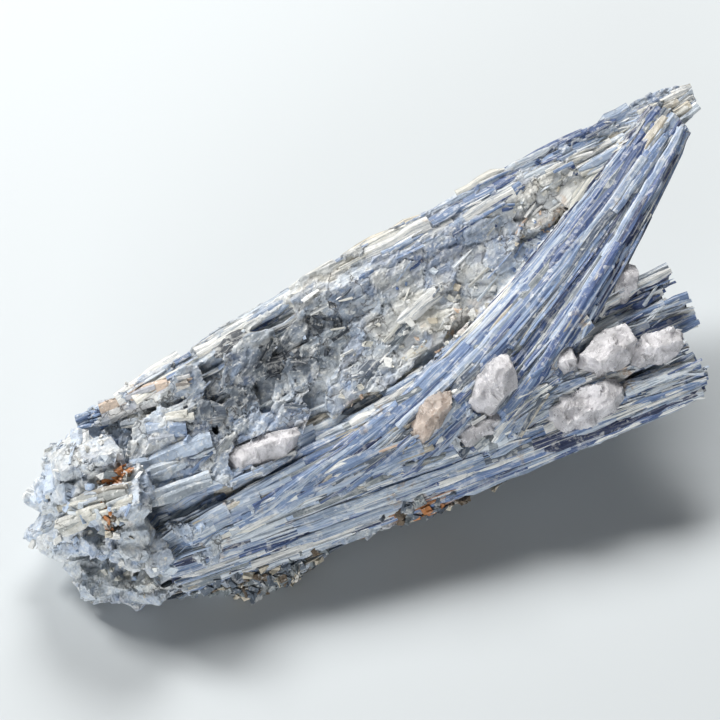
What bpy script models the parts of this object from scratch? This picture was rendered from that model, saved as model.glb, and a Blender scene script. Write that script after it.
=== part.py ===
"""Kyanite blade cluster: one intergrown mass of bladed crystals, with quartz grown in its forks.

The mass lies on a flat cleavage face. Its blades spring from a crumbled root end at -X. One sheaf
sweeps up to a horn at +X, and a lower fan spreads to the right along the front, towards -Y.
Places and sizes are in millimetres: X along the ridge, Y to the back, Z up, origin under the middle.
"""

import math
import random

import bmesh
import bpy
from mathutils import Matrix, Vector

MM = 0.001
CLUSTER_NAME = "kyanite_blade_cluster"
KYANITE_COLOUR = (0.30, 0.40, 0.56, 1.0)
QUARTZ_COLOUR = (0.72, 0.70, 0.68, 1.0)
QUARTZ_GAP = 0.4  # clearance of a quartz grain in its pocket, all round

# Driving sizes of the mass
FLOOR_Z = 0.0
BACK_Y = 34.0
RIDGE_LEFT_Z = 36.0
RIDGE_MIDDLE_Z = 42.0
HORN_Z = 49.0

# The massive stones under the blades, by their corners
MASSIVE_STONES = {
    "wedge_left": [
        (-53, 24, RIDGE_LEFT_Z), (-37, 23, 38), (-16, 23, 40.5), (-6, 22.5, RIDGE_MIDDLE_Z),
        (-62, 4, 14), (-53, 2, 16), (-32, -1, 20), (-10, -4, 24),
        (-62, 1, FLOOR_Z), (-30, -5, FLOOR_Z), (-6, -9, 2),
        (-60, BACK_Y - 2, FLOOR_Z), (-6, BACK_Y, FLOOR_Z), (-55, 31, 22), (-6, 31, 25),
    ],
    "wedge_middle": [
        (-16, 23, 40.5), (10, 22, 43), (26, 21.5, 45),
        (-12, -4, 24), (2, -1, 28), (20, 3, 33),
        (-10, -10, 3), (12, -11, 8), (22, -9, 12),
        (-16, -8, FLOOR_Z), (15, -6, FLOOR_Z), (24, 27, FLOOR_Z), (-16, BACK_Y, FLOOR_Z), (26, 30, 20),
    ],
    "wedge_horn": [
        (18, 22, 43.5), (36, 22, 45.5), (57, 19.5, 47),
        (18, 3, 33), (38, 8, 38), (57, 13, 43),
        (57, 16, 39), (38, 13, 26), (18, 6, 8), (22, 27, 4), (38, 25, 27),
    ],
    "horn_tip": [
        (54, 20, 47), (66, 17.5, 47.4), (73, 18.6, HORN_Z), (78, 17.6, HORN_Z + 1), (81, 15, HORN_Z),
        (80.8, 12.6, 47), (77, 10.5, 45), (70, 8.5, 43.5), (54, 8, 41), (56, 17, 37), (70, 14.5, 41),
        (79, 14.5, 44.5),
    ],
    "fork_bed": [
        (-6, -8, 18), (10, -10, 22), (30, -8, 27), (44, -12, 26), (45, -23, 19), (28, -24, 15),
        (4, -18, 12), (-4, -14, 5), (20, -14, 8), (42, -14, 18), (30, 2, 16), (10, 2, 8),
    ],
    "sheaf_bed": [
        (-8, -12, 17), (6, -18, 20), (33, -9.5, 31), (52, 0, 38), (70, 9, 42.5), (-8, -2, 24), (20, 3, 31),
        (44, 10, 38), (66, 14, 42), (10, -10, 10), (30, -1, 18), (48, 7, 29),
    ],
    "lower_slab": [
        (-66, 5, 9), (-62, 0, 4), (-30, -9, 4), (-8, -15, 5), (14, -21, 8), (34, -27, 12),
        (44, -30, 17), (43, -25, 19), (14, -15, 15), (-30, -4, 14), (-60, 6, 3), (14, -12, 6),
    ],
    "root_core": [
        (-76, 22, 17), (-71, 26, 23), (-66, 28, 26), (-60, 30, 28), (-57, 27, 31), (-77, 16, 8),
        (-74, 9, 3), (-69, 6, FLOOR_Z), (-60, 0, FLOOR_Z), (-48, -3, FLOOR_Z), (-48, 22, 34),
        (-62, 6, 13), (-58, BACK_Y - 1, 5), (-72, 24, FLOOR_Z), (-52, BACK_Y - 3, FLOOR_Z),
    ],
}

# Ledges that stand out of the massive stones, by their corners
LEDGES = {
    "foot_ledge": [
        (-52, -2, 9), (-43, -8, 8), (-31, -11.5, 7), (-28, -11.5, 5.5), (-33, -12, 4), (-41, -12, 1.5),
        (-50, -9.5, FLOOR_Z), (-53, -6, 2), (-50, 2, FLOOR_Z), (-34, -3, FLOOR_Z),
    ],
    "rusty_ledge": [
        (-15, -12, 9), (-4, -16.5, 9), (-5, -18, 7.5), (-11, -16.5, 5), (-17, -13, 4), (-10, -8, 3), (-2, -10, 7),
    ],
    "left_rim": [
        (-56, 25, 34.5), (-50, 25, 36), (-36, 24, 38.2), (-18, 22.5, 40.8), (-18, 20.5, 41), (-37, 19.5, 38),
        (-52, 19, 34.5), (-56, 22, 33), (-40, 26, 30),
    ],
    "root_step": [
        (-58, 18, 33.6), (-50, 17, 34.8), (-46, 11, 31.8), (-50, 5, 26.8), (-60, 8, 25.5), (-62, 13, 29.2),
        (-54, 11, 22),
    ],
}

# Hollows between them, cut as stones
HOLLOWS = {
    "root_crevice": [
        (-71, 9, 23), (-56, 4, 20.5), (-57, 8, 24.5), (-70, 14, 27), (-60, 12, 17), (-63, 3, 24), (-66, 11, 18),
    ],
    "rim_crevice": [(-54, 18.5, 39), (-42, 16.5, 39), (-41, 14.5, 39), (-54, 15, 39), (-48, 17, 30.5)],
    "foot_hollow": [(-65, -8, 6), (-54, -10, 6.5), (-54, -10, 0.6), (-64, -8, 0.6), (-58, 3, 3), (-54, 1, 3.5)],
}

# A sheaf is a sheet of blades between its first and its last one. Each is given by root, bend and tip.
HORN_SHEAF = {
    "first": [(-63, 3.5, 15.5), (-9, -5, 27.5), (69, 15.5, 47.5)],
    "last": [(3, -20, 21.5), (33, -11.5, 34), (72.5, 7.5, 45)],
    "blades": 16, "thickness": 3.4, "shortest": 0.72, "seed": 3,
}
LOWER_FAN = {
    "first": [(-67, 4, 12), (-10.5, -13, 18), (47.5, -29.5, 22)],
    "last": [(-68, -1, 4.5), (-14, -16.5, 10), (44.5, -32.8, 19)],
    "blades": 8, "thickness": 4.0, "shortest": 0.9, "seed": 8,
}
RIDGE_BLADES = {
    "first": [(-22, 21.5, 40.5), (20, 20.3, 43.6), (62, 18, 47)],
    "last": [(-10, 15, 38), (20, 13.5, 41.3), (54, 14, 44.2)],
    "blades": 5, "thickness": 2.4, "shortest": 0.8, "seed": 5,
}
BACK_BLADES = {
    "first": [(-62, 32, 8), (0, 33, 14), (34, 29, 26)],
    "last": [(-50, 26.5, 29), (10, 26, 35.5), (64, 18, 42)],
    "blades": 10, "thickness": 3.0, "shortest": 0.6, "seed": 21,
}
HORN_KEEL = {
    "first": [(14, 3, 6), (38, 10, 25), (70, 13, 41.5)],
    "last": [(16, 29, 7), (38, 26, 27), (66, 17.5, 42)],
    "blades": 6, "thickness": 3.4, "shortest": 0.75, "seed": 13,
}
SHEAVES = {
    "horn_sheaf": HORN_SHEAF,
    "lower_fan": LOWER_FAN,
    "ridge_blades": RIDGE_BLADES,
    "back_blades": BACK_BLADES,
    "horn_keel": HORN_KEEL,
}

# Cleavage flakes lie on the sloping face between the ridge and the horn sheaf
FACE_TOP = [(-50, 19, 36), (5, 15.5, 39.5), (52, 14, 44)]
FACE_BOTTOM = [(-58, 6, 24), (-9, 0, 29.5), (52, 11.5, 41.5)]
FLAKE_COLUMNS = 9
FLAKE_ROWS = 3

# The free blades of the fork between the sheaf and the lower fan: root, tip, width, thickness, facing
FORK_BLADES = {
    "fork_top_blade": [(26, -8, 28.0), (53, -12.8, 32.5), 4.5, 3.4, (-0.2, -0.7, 0.7)],
    "fork_wide_blade": [(22, -12, 24), (53, -19.2, 28.6), 7.5, 5.0, (-0.2, -0.8, 0.6)],
    "fork_pale_blade": [(20, -17, 23), (45.7, -25, 26.8), 4.5, 3.4, (-0.2, -0.6, 0.8)],
    "fork_dark_blade": [(14, -20, 19.5), (46.5, -31.0, 24.6), 5.0, 4.2, (-0.1, -0.8, 0.6)],
    "fork_long_blade": [(8, -19.5, 17.5), (44, -33.0, 22.4), 4.6, 3.6, (-0.1, -0.8, 0.6)],
    "fork_root_block": [(8, -13.5, 21.5), (30, -21.5, 26), 6.5, 5.0, (-0.2, -0.7, 0.7)],
    "fork_inner_blade": [(16, -10, 24), (33, -12.0, 31), 5.0, 3.0, (-0.4, -0.7, 0.5)],
    "fork_small_blade": [(12, -14, 22), (24, -17.0, 28), 4.5, 3.0, (-0.4, -0.7, 0.5)],
}

# Quartz grains: middle, length, width, height, and the way that the length points
QUARTZ_GRAINS = {
    "quartz_fork_large": [(7.4, -13.9, 30.0), 15.0, 8.2, 7.5, (0.71, 0.08, 0.70)],
    "quartz_fork_pink": [(-6.6, -11.0, 26.8), 14.5, 6.8, 6.5, (0.86, 0.0, 0.5)],
    "quartz_fork_small": [(-13.4, -11.6, 22.9), 8.0, 6.0, 5.5, (0.8, 0.0, 0.6)],
    "quartz_fork_plate": [(1.2, -16.6, 23.4), 12.5, 6.0, 5.0, (0.88, -0.25, 0.35)],
    "quartz_lower_tongue": [(23.0, -24.4, 23.6), 19.0, 8.0, 6.5, (0.95, -0.24, 0.18)],
    "quartz_upper_tongue": [(31.6, -19.4, 29.6), 14.0, 8.6, 7.5, (0.97, 0.0, 0.20)],
    "quartz_tongue_tip": [(40.8, -24.0, 28.6), 13.0, 6.5, 6.0, (0.93, -0.3, 0.15)],
    "quartz_sheaf_foot": [(23.4, -16.4, 29.2), 7.0, 6.0, 5.5, (0.6, 0.0, 0.8)],
    "quartz_notch": [(43.6, -9.8, 33.2), 9.0, 6.5, 6.0, (0.6, 0.1, 0.8)],
    "quartz_crevice": [(-37.8, 2.4, 26.2), 19.0, 6.0, 5.5, (0.92, -0.30, 0.27)],
}

ROOT_CRUMBS = 30
UNDERSIDE_CRUMBS = 10
GRAIN_CORNERS = 14
FLAKE_CORNERS = 7
GOLDEN_ANGLE = math.pi * (3 - math.sqrt(5))  # turns each next point away from the ones before it


def clear_scene():
    for obj in list(bpy.data.objects):
        bpy.data.objects.remove(obj, do_unlink=True)


def material(name, colour, roughness):
    made = bpy.data.materials.new(name)
    made.use_nodes = True
    shader = made.node_tree.nodes["Principled BSDF"]
    shader.inputs["Base Color"].default_value = colour
    shader.inputs["Roughness"].default_value = roughness
    shader.inputs["Metallic"].default_value = 0.0
    return made


def finished(shape, name, collection):
    """The bmesh as an object in its collection, with its faces pointing out."""
    bmesh.ops.recalc_face_normals(shape, faces=shape.faces)
    mesh = bpy.data.meshes.new(name)
    shape.to_mesh(mesh)
    shape.free()
    obj = bpy.data.objects.new(name, mesh)
    collection.objects.link(obj)
    return obj


def stone(name, corners, collection):
    """A flat-faced lump: the tightest convex body round its corners."""
    shape = bmesh.new()
    for corner in corners:
        shape.verts.new(Vector(corner) * MM)
    hull = bmesh.ops.convex_hull(shape, input=shape.verts)
    inner = {v for v in hull["geom_interior"] + hull["geom_unused"] if isinstance(v, bmesh.types.BMVert)}
    bmesh.ops.delete(shape, geom=list(inner), context="VERTS")
    return finished(shape, name, collection)


def through(root, bend, tip, share):
    """The point at that share of the curve that starts at root, passes bend half way, and ends at tip."""
    pull = 2 * bend - (root + tip) / 2
    rest = 1 - share
    return root * rest * rest + pull * 2 * rest * share + tip * share * share


def lath(name, place, facing, width, thickness, skew, collection, joints=4):
    """A crystal blade: a long flat bar, bent along place(0..1), with its tip broken off at a slant."""
    shape = bmesh.new()
    bmesh.ops.create_cube(shape, size=1.0)
    for step in range(1, joints):
        everything = shape.verts[:] + shape.edges[:] + shape.faces[:]
        bmesh.ops.bisect_plane(
            shape, geom=everything, plane_co=(step / joints - 0.5, 0, 0), plane_no=(1, 0, 0))
    for vert in shape.verts:
        share = vert.co.x + 0.5
        slant = skew * vert.co.y if share > 0.99 else 0.0
        here = place(share)
        along = (place(min(share + 0.02, 1.0)) - place(max(share - 0.02, 0.0))).normalized()
        side = along.cross(facing(share)).normalized()
        out = side.cross(along).normalized()
        taper = 1.0 - 0.25 * share if share > 0.5 else 0.875
        here += along * slant + side * vert.co.y * width(share) * taper + out * vert.co.z * thickness * taper
        vert.co = here * MM
    return finished(shape, name, collection)


def sheaf(name, first, last, blades, thickness, shortest, seed, collection):
    """Blades side by side from the first curve to the last, each a little high, low, rolled or short."""
    rng = random.Random(seed)
    first = [Vector(p) for p in first]
    last = [Vector(p) for p in last]

    def on_sheet(across, share):
        ends = [a.lerp(b, across) for a, b in zip(first, last)]
        return through(*ends, share)

    for number in range(blades):
        across = (number + rng.uniform(-0.2, 0.2)) / (blades - 1)
        across = min(max(across, 0.0), 1.0)
        begin = rng.uniform(0.0, 0.12)
        end = rng.uniform(shortest, 1.0) if number % 3 else 1.0
        lift = rng.uniform(-0.8, 0.9)
        roll = rng.uniform(-0.35, 0.35)

        def place(share, across=across, begin=begin, end=end, lift=lift):
            at = begin + (end - begin) * share
            return on_sheet(across, at) + facing(share, across, begin, end, 0.0) * lift

        def facing(share, across=across, begin=begin, end=end, roll=roll):
            at = begin + (end - begin) * share
            low, high = max(at - 0.03, 0.0), min(at + 0.03, 1.0)
            along = on_sheet(across, high) - on_sheet(across, low)
            over = on_sheet(min(across + 0.05, 1.0), at) - on_sheet(max(across - 0.05, 0.0), at)
            out = over.cross(along).normalized()
            return Matrix.Rotation(roll, 3, along.normalized()) @ out

        def width(share, begin=begin, end=end):
            at = begin + (end - begin) * share
            spread = (on_sheet(1.0, at) - on_sheet(0.0, at)).length / (blades - 1)
            return 1.0 + 1.5 * spread

        lath(f"{name}_{number}", place, facing, width, thickness, rng.uniform(-2.5, 2.5), collection)


def free_blade(name, root, tip, width, thickness, facing, collection):
    root, tip, facing = Vector(root), Vector(tip), Vector(facing)
    bend = (root + tip) / 2
    return lath(name, lambda share: through(root, bend, tip, share), lambda share: facing,
                lambda share: width, thickness, -2.0, collection, joints=2)


def grain(name, middle, length, width, height, along, seed, collection, swell=0.0):
    """A quartz grain: an angular body round seeded corners on an ellipsoid. swell grows it all round."""
    rng = random.Random(seed)
    turn = Vector(along).to_track_quat("X", "Z").to_matrix()
    half = Vector((length, width, height)) / 2
    grow = 1 + swell / min(half)
    corners = []
    for number in range(GRAIN_CORNERS):
        level = 1 - 2 * (number + 0.5) / GRAIN_CORNERS
        turn_round = number * GOLDEN_ANGLE + rng.uniform(-0.3, 0.3)
        flat = math.sqrt(1 - level * level)
        ball = Vector((level, flat * math.cos(turn_round), flat * math.sin(turn_round)))
        blocky = Vector([math.copysign(abs(part) ** 0.7, part) for part in ball])
        blocky *= rng.uniform(0.9, 1.05)
        corners.append(Vector(middle) + turn @ (Vector(half * grow) * blocky))
    return stone(name, corners, collection)


def crumb(name, middle, size, rng, collection):
    """A broken block about size across, turned at random."""
    turn = Matrix.Rotation(rng.uniform(0, math.pi), 3, "Z") @ Matrix.Rotation(rng.uniform(-0.7, 0.7), 3, "X")
    half = Vector((rng.uniform(0.8, 1.3), rng.uniform(0.6, 0.9), rng.uniform(0.4, 0.7))) * size / 2
    corners = []
    for sign_x in (-1, 1):
        for sign_y in (-1, 1):
            for sign_z in (-1, 1):
                corner = Vector((sign_x * half.x, sign_y * half.y, sign_z * half.z)) * rng.uniform(0.75, 1.1)
                place = Vector(middle) + turn @ corner
                place.z = max(place.z, FLOOR_Z)
                corners.append(place)
    return stone(name, corners, collection)


def root_crumbs(collection):
    """Broken blocks all over the root end, thickest at its far side."""
    rng = random.Random(17)
    centre = Vector((-63.7, 14.3, 15))
    reach = Vector((13.0, 15.8, 15.5))
    for number in range(ROOT_CRUMBS):
        level = 1 - 1.75 * (number + 0.5) / ROOT_CRUMBS
        turn_round = number * GOLDEN_ANGLE
        flat = math.sqrt(1 - level * level)
        ball = Vector((-abs(flat * math.cos(turn_round)), flat * math.sin(turn_round), level))
        middle = centre + Vector(reach * ball)
        crumb(f"root_crumb_{number}", middle, rng.uniform(6.0, 10.5), rng, collection)


def underside_crumbs(collection):
    """Lumps along the low front edge, between the root and the rusty ledge."""
    rng = random.Random(29)
    for number in range(UNDERSIDE_CRUMBS):
        share = number / (UNDERSIDE_CRUMBS - 1)
        middle = Vector((-73, 6, 3.5)).lerp(Vector((-22, -11.5, 5)), share)
        middle.z += rng.uniform(-1.5, 2.5)
        crumb(f"underside_crumb_{number}", middle, rng.uniform(5.5, 8.5), rng, collection)


def face_flakes(collection):
    """Flat broken flakes laid like shingles on the sloping face, long ways along the ridge."""
    rng = random.Random(41)
    top = [Vector(p) for p in FACE_TOP]
    bottom = [Vector(p) for p in FACE_BOTTOM]
    for column in range(FLAKE_COLUMNS):
        share = (column + 0.5) / FLAKE_COLUMNS
        high, low = through(*top, share), through(*bottom, share)
        along = (through(*top, share + 0.05) - high).normalized()
        down = (low - high).normalized()
        out = down.cross(along).normalized()
        for row in range(FLAKE_ROWS):
            across = (row + 0.5 + rng.uniform(-0.25, 0.25)) / FLAKE_ROWS
            middle = high.lerp(low, across) + along * rng.uniform(-3, 3)
            length = rng.uniform(5.0, 10.0)
            width = (low - high).length / FLAKE_ROWS * rng.uniform(0.6, 0.95)
            rise = rng.uniform(0.3, 1.5)
            lean = along * rng.uniform(-0.08, 0.08) + down * rng.uniform(-0.1, 0.1)
            corners = []
            for number in range(FLAKE_CORNERS):
                turn = math.tau * (number + rng.uniform(-0.3, 0.3)) / FLAKE_CORNERS
                at = along * length * math.cos(turn) + down * width * math.sin(turn)
                corners.append(middle + at + out * (rise + at.dot(lean)))
                corners.append(middle + at * 0.8 - out * 4)
            stone(f"face_flake_{column}_{row}", corners, collection)


def helper_collection(name):
    """Holds shapes that are joined to or cut from the mass, and are no pieces themselves."""
    made = bpy.data.collections.new(name)
    bpy.context.scene.collection.children.link(made)
    return made


def hide_helpers(collection):
    for obj in collection.objects:
        obj.hide_render = True
        obj.display_type = "WIRE"


def boolean(obj, operation, collection):
    modifier = obj.modifiers.new(operation.lower(), "BOOLEAN")
    modifier.operation = operation
    modifier.operand_type = "COLLECTION"
    modifier.collection = collection
    modifier.solver = "EXACT"


def notch(obj, cutter):
    modifier = obj.modifiers.new("notch", "BOOLEAN")
    modifier.operation = "DIFFERENCE"
    modifier.object = cutter
    modifier.solver = "EXACT"


def body_of(vert):
    """All the vertices that hang together with this one."""
    body = {vert}
    edge_of_search = [vert]
    while edge_of_search:
        for edge in edge_of_search.pop().link_edges:
            for other in edge.verts:
                if other not in body:
                    body.add(other)
                    edge_of_search.append(other)
    return body


def grown_together(mass, collection):
    """The mass with its Booleans worked out: cracks sealed inside it close, and loose chips fall off."""
    evaluated = mass.evaluated_get(bpy.context.evaluated_depsgraph_get())
    shape = bmesh.new()
    shape.from_mesh(evaluated.to_mesh())
    unseen = set(shape.verts)
    bodies = []
    while unseen:
        body = body_of(next(iter(unseen)))
        unseen -= body
        bodies.append(body)
    bodies.sort(key=len)
    strays = [vert for body in bodies[:-1] for vert in body]
    bmesh.ops.delete(shape, geom=strays, context="VERTS")
    bpy.data.objects.remove(mass, do_unlink=True)
    return finished(shape, "kyanite_blades", collection)


def main():
    clear_scene()
    cluster = bpy.data.collections.new(CLUSTER_NAME)
    bpy.context.scene.collection.children.link(cluster)
    joined = helper_collection("joined_to_mass")
    cutters = helper_collection("cut_from_mass")

    stones = dict(MASSIVE_STONES)
    mass = stone("first_stone", stones.pop("wedge_left"), cluster)
    for name, corners in {**stones, **LEDGES}.items():
        stone(name, corners, joined)
    for name, sizes in SHEAVES.items():
        sheaf(name, **sizes, collection=joined)
    for name, sizes in FORK_BLADES.items():
        free_blade(name, *sizes, collection=joined)
    root_crumbs(joined)
    underside_crumbs(joined)
    face_flakes(joined)

    for name, corners in HOLLOWS.items():
        stone(name, corners, cutters)
    quartz = material("quartz", QUARTZ_COLOUR, 0.35)
    pockets = []
    for seed, (name, sizes) in enumerate(QUARTZ_GRAINS.items()):
        lump = grain(name, *sizes, seed=seed, collection=cluster)
        lump.data.materials.append(quartz)
        for pocket in pockets:
            notch(lump, pocket)
        pockets.append(grain(name + "_pocket", *sizes, seed=seed, collection=cutters, swell=QUARTZ_GAP))

    boolean(mass, "UNION", joined)
    boolean(mass, "DIFFERENCE", cutters)
    mass = grown_together(mass, cluster)
    mass.data.materials.append(material("kyanite", KYANITE_COLOUR, 0.45))
    hide_helpers(joined)
    hide_helpers(cutters)


main()
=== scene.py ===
"""Kyanite blade cluster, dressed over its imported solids. Places and sizes are in millimetres, apart from
those of patterns, lamps and the floor, which are in metres."""

import math
import random

import bmesh
import bpy
from mathutils import Euler, Matrix, Vector, noise
from mathutils.bvhtree import BVHTree


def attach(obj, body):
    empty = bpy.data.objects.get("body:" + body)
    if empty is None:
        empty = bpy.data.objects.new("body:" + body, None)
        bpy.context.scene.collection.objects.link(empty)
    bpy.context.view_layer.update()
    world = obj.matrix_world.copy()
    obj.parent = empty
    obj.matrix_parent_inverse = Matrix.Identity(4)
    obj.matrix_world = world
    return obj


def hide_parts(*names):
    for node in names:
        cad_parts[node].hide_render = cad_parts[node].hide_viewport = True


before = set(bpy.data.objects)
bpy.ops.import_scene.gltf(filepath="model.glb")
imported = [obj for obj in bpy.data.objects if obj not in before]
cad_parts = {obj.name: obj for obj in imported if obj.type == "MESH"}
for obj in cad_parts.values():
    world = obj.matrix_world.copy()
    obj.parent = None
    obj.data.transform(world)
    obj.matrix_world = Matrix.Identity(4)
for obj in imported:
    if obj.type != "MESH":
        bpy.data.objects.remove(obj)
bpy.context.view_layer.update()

# ---- The intergrown mass ----
# Kyanite and mica that grew as one body. Its broken surface shows between the blades, rough and dull.
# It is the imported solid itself, with its surface made fine and roughened along the grain.
MM = 0.001
SKIN_GRID = 0.5
FLOOR_Z = 0.0


def display(red, green, blue):
    """A colour as a screen shows it, 0 to 255 a channel, in the linear values that light uses."""
    return tuple(((part / 255 + 0.055) / 1.055) ** 2.4 for part in (red, green, blue))


PEARL = display(242, 242, 238)
ICE = display(212, 221, 229)
FROST_BLUE = display(190, 208, 232)
PALE_BLUE = display(176, 191, 210)
MID_BLUE = display(126, 149, 184)
DEEP_BLUE = display(82, 105, 150)
INDIGO = display(50, 63, 100)
SLATE = display(104, 114, 126)
MICA = display(134, 142, 146)
DARK_MICA = display(60, 67, 76)
CREAM = display(224, 222, 212)
SAND = display(202, 193, 174)
PINK_STAIN = display(214, 187, 164)
RUST = display(186, 124, 74)
UMBER = display(112, 98, 82)

# The colours of each kind of growth, with how common each one is
DARK_GROWTH = {DARK_MICA: 9, SLATE: 5, MICA: 2, MID_BLUE: 0.7, PALE_BLUE: 0.6}
CORE_GROWTH = {DARK_MICA: 12, SLATE: 1, ICE: 0.6}
CREAM_GROWTH = {CREAM: 6, SAND: 1, PEARL: 9, ICE: 1}
BLUE_GROWTH = {MID_BLUE: 6, PALE_BLUE: 3, DEEP_BLUE: 7, ICE: 1, INDIGO: 0.5}
WHITE_GROWTH = {PEARL: 8, ICE: 2, CREAM: 5, SAND: 1}
STAINED_GROWTH = {PINK_STAIN: 6, SAND: 3, CREAM: 2, ICE: 3, RUST: 0.1}
RUSTY_GROWTH = {RUST: 6, UMBER: 3, SAND: 1}
CRUMB_GROWTH = {ICE: 6, PEARL: 11, FROST_BLUE: 9, MICA: 0.5, CREAM: 3}
GREY_GROWTH = {MICA: 2.5, SLATE: 0.3, SAND: 4.5, UMBER: 0.5, CREAM: 7, ICE: 2}
DUSKY_GROWTH = {MICA: 4, SLATE: 4, SAND: 1.5, UMBER: 2}
FROST_GROWTH = {ICE: 5, FROST_BLUE: 5, PALE_BLUE: 3, PEARL: 2, MICA: 1}
BLOCK_GROWTH = {MID_BLUE: 6, PALE_BLUE: 2, DEEP_BLUE: 2}
PALE_SHEAF_GROWTH = {PEARL: 1, ICE: 3, PINK_STAIN: 1.5, PALE_BLUE: 4, CREAM: 1, MID_BLUE: 4, DEEP_BLUE: 2,
                     SLATE: 1}
DEEP_SHEAF_GROWTH = {MID_BLUE: 5, DEEP_BLUE: 5, INDIGO: 2, PALE_BLUE: 4, SLATE: 2, ICE: 1}

# Where the mass changes its growth: middle, reach along X, Y and Z, strength, and what grows there
ZONES = {
    "dark_core": ((-22.5, 13.5, 36), (8.5, 3, 4), 1.0, CORE_GROWTH),
    "dark_patch": ((-23, 13, 36), (15, 6.5, 7), 1.0, DARK_GROWTH),
    "dark_patch_low": ((-39, 12, 33), (11, 8, 6), 0.9, DARK_GROWTH),
    "blue_lens": ((24, 11.5, 41), (7, 3, 3), 1.0, BLUE_GROWTH),
    "cream_middle": ((5, 6, 36), (14, 7, 6), 1.0, CREAM_GROWTH),
    "cream_upper": ((37, 12.5, 43.5), (11, 4, 5), 1.0, CREAM_GROWTH),
    "cream_high": ((47, 12.5, 44), (8, 4, 4), 0.9, CREAM_GROWTH),
    "cream_low": ((-6, 2, 32), (9, 5, 5), 0.7, CREAM_GROWTH),
    "ridge_white": ((-10, 21.5, 41.5), (27, 4.2, 9), 1.0, WHITE_GROWTH),
    "ridge_blue": ((38, 19, 46.5), (30, 4, 4.5), 1.0, BLUE_GROWTH),
    "face_blue": ((12, 15, 42), (17, 4.2, 4), 1.0, BLUE_GROWTH),
    "stain_middle": ((9, 2.5, 32), (9, 2.8, 4), 0.9, STAINED_GROWTH),
    "stain_upper": ((38, 9, 40), (9, 2.6, 3.5), 1.0, STAINED_GROWTH),
    "stain_root": ((-20, -0.5, 27), (14, 2.5, 3), 0.8, STAINED_GROWTH),
    "sheaf_pale": ((6, -2, 31), (13, 6, 5), 0.8, PALE_SHEAF_GROWTH),
    "sheaf_deep": ((40, 2, 39), (20, 6, 6), 0.7, DEEP_SHEAF_GROWTH),
    "crumb_far": ((-76, 20, 20), (11, 15, 18), 1.0, CRUMB_GROWTH),
    "crumb_top": ((-58, 20, 32), (12, 10, 7), 1.0, CRUMB_GROWTH),
    "crumb_grey": ((-69, 5, 25), (5, 5, 6), 0.9, GREY_GROWTH),
    "crumb_low": ((-70, 2, 8), (9, 10, 7), 0.7, GREY_GROWTH),
    "root_pale": ((-58, 4, 18), (13, 10, 12), 0.7, FROST_GROWTH),
    "crevice_rust": ((-66.5, 10.5, 29.5), (3.2, 1.8, 2.2), 1.0, RUSTY_GROWTH),
    "crevice_rust_low": ((-71, 4.5, 27), (3.2, 1.8, 2.2), 1.0, RUSTY_GROWTH),
    "ledge_rust": ((-11, -18, 9), (7, 4, 3.5), 0.9, RUSTY_GROWTH),
    "under_grey": ((-45, -8, 3), (16, 6, 4), 0.8, DUSKY_GROWTH),
}
ZONE_FALL = 1.2
CRYSTAL_SHADES = (0.86, 1.1)


def zone_share(place, zone):
    """How strongly that place, in millimetres, belongs to the zone, from 0 to its strength."""
    middle, reach, strength, _ = zone
    offset = [(at - centre) / size for at, centre, size in zip(place, middle, reach)]
    return strength * math.exp(-ZONE_FALL * sum(part * part for part in offset))


def crystal_tone(place, growth, rng):
    """The colour of one crystal at that place: the growth's own, or that of a zone that it lies in."""
    roll = rng.random()
    for zone in ZONES.values():
        share = zone_share(place, zone)
        if roll < share:
            growth = zone[3]
            break
        roll = (roll - share) / (1 - share)
    colour = rng.choices(list(growth), list(growth.values()))[0]
    shade = rng.uniform(*CRYSTAL_SHADES)
    return [part * shade for part in colour] + [1.0]


def new_piece(name, data):
    made = bpy.data.objects.new(name, data)
    bpy.context.scene.collection.objects.link(made)
    return made


def settled(piece):
    """The piece with its modifiers worked out, as a plain mesh that doesn't reach under the floor."""
    graph = bpy.context.evaluated_depsgraph_get()
    mesh = bpy.data.meshes.new_from_object(piece.evaluated_get(graph))
    piece.modifiers.clear()
    piece.data = mesh
    for vert in mesh.vertices:
        vert.co.z = max(vert.co.z, FLOOR_Z)
    return piece


def fine_copy(node, name, grid_size):
    """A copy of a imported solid, its loose triangles joined and its surface remade on a fine grid."""
    shape = bmesh.new()
    shape.from_mesh(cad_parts[node].data)
    bmesh.ops.remove_doubles(shape, verts=shape.verts, dist=1e-6)
    mesh = bpy.data.meshes.new(name)
    shape.to_mesh(mesh)
    shape.free()
    piece = new_piece(name, mesh)
    grid = piece.modifiers.new("fine_surface", "REMESH")
    grid.mode = "VOXEL"
    grid.voxel_size = grid_size * MM
    return settled(piece)


def set_finish(piece, finish):
    piece.data.materials.clear()
    piece.data.materials.append(finish)


def attribute(mesh, name, kind, values):
    """Stores one value for each point of the mesh."""
    made = mesh.attributes.new(name, kind, "POINT")
    key = {"FLOAT": "value", "FLOAT_VECTOR": "vector", "FLOAT_COLOR": "color"}[kind]
    flat = values if kind == "FLOAT" else [part for value in values for part in value]
    made.data.foreach_set(key, flat)


def connect(tree, node, inputs):
    """Sets inputs of the node. Each is a value, or another node's output to link."""
    for name, value in inputs.items():
        if isinstance(value, bpy.types.NodeSocket):
            tree.links.new(value, node.inputs[name])
        else:
            node.inputs[name].default_value = value


def add_node(tree, kind, inputs=None, **settings):
    made = tree.nodes.new(kind)
    for name, value in settings.items():
        setattr(made, name, value)
    connect(tree, made, inputs or {})
    return made


def maths(tree, operation, first, second=0.0):
    return add_node(tree, "ShaderNodeMath", {0: first, 1: second}, operation=operation).outputs[0]


def times(tree, first, second):
    return maths(tree, "MULTIPLY", first, second)


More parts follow.
